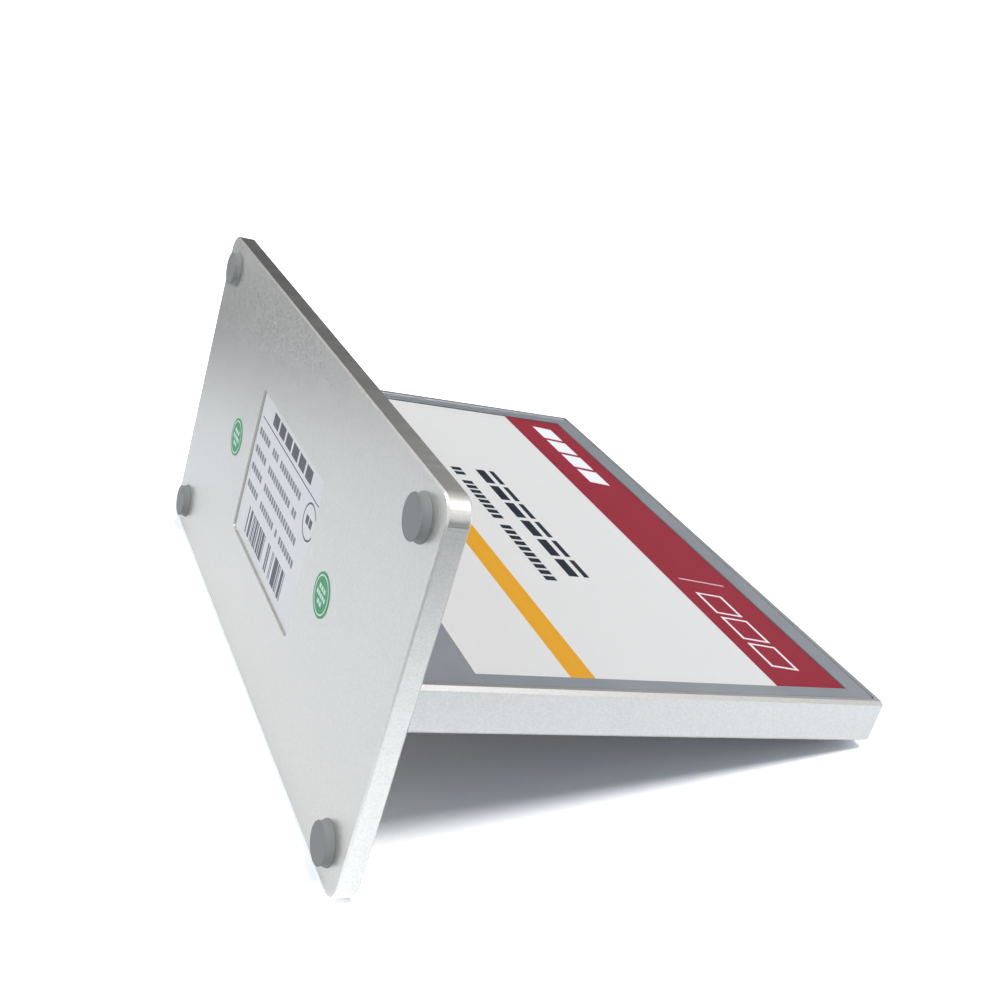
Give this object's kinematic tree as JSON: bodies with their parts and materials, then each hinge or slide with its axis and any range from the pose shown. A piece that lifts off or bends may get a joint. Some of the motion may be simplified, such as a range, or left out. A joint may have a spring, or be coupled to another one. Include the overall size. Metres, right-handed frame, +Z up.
{
  "type": "e-paper desk sign",
  "caption": "Upright slab with an e-paper picture on its front and rear faces, standing across the middle of a flat aluminium base on rubber feet.",
  "frame": {"origin": "Middle of the footprint, on the plane that the feet stand on", "axes": "+X along the sign to the right as the front picture is read, -Y out of the front picture, +Z up"},
  "size_m": [0.183, 0.091, 0.128],
  "materials": {
    "base_aluminium": "bead-blasted and clear anodised",
    "frame_aluminium": "bead-blasted and clear anodised, bright-cut chamfers",
    "foot_rubber": "matte grey",
    "label_film": "satin white synthetic label",
    "seal_film": "green gloss-printed paper",
    "screw_steel": "zinc-plated",
    "lens_acrylic": "clear, with a silver-grey border printed behind",
    "tape_foam": "black foam tape",
    "tape_white": "white double-sided tape",
    "backplane_glass": "dark, opaque circuit side",
    "ink_laminate": "paper-like reflective film",
    "chip_silicon": "black",
    "flex_polyimide": "amber film",
    "chassis_plastic": "moulded, fine texture",
    "board_laminate": "green solder mask",
    "shield_tin": "tin-plated",
    "connector_plastic": "ivory",
    "ferrite": "grey ferrite",
    "capacitor_ceramic": "tan",
    "pouch_foil": "laminated foil",
    "lead_red": "red insulation",
    "lead_black": "black insulation"
  },
  "bodies": {
    "root": {"base_plate": "base_aluminium", "foot_front_left": "foot_rubber", "foot_front_right": "foot_rubber", "foot_rear_left": "foot_rubber", "foot_rear_right": "foot_rubber", "underside_label": "label_film", "seal_left": "seal_film", "seal_right": "seal_film", "base_screws": "screw_steel", "display_frame": "frame_aluminium", "front_lens": "lens_acrylic", "rear_lens": "lens_acrylic", "front_lens_tape": "tape_foam", "rear_lens_tape": "tape_foam", "front_panel_glass": "backplane_glass", "rear_panel_glass": "backplane_glass", "front_ink_film": "ink_laminate", "rear_ink_film": "ink_laminate", "front_driver_chip": "chip_silicon", "rear_driver_chip": "chip_silicon", "front_flex_tail": "flex_polyimide", "rear_flex_tail": "flex_polyimide", "front_panel_tapes": "tape_white", "rear_panel_tapes": "tape_white", "chassis_tray": "chassis_plastic", "chassis_cover": "chassis_plastic", "chassis_screws": "screw_steel", "cover_screws": "screw_steel", "main_board": "board_laminate", "board_screws": "screw_steel", "radio_board": "board_laminate", "radio_shield": "shield_tin", "panel_sockets": "connector_plastic", "power_coils": "ferrite", "capacitors": "capacitor_ceramic", "battery_cell": "pouch_foil", "battery_guard_board": "board_laminate", "battery_pad": "tape_white", "battery_socket": "connector_plastic", "battery_plug": "connector_plastic", "battery_lead_red": "lead_red", "battery_lead_black": "lead_black"}
  },
  "joints": []
}
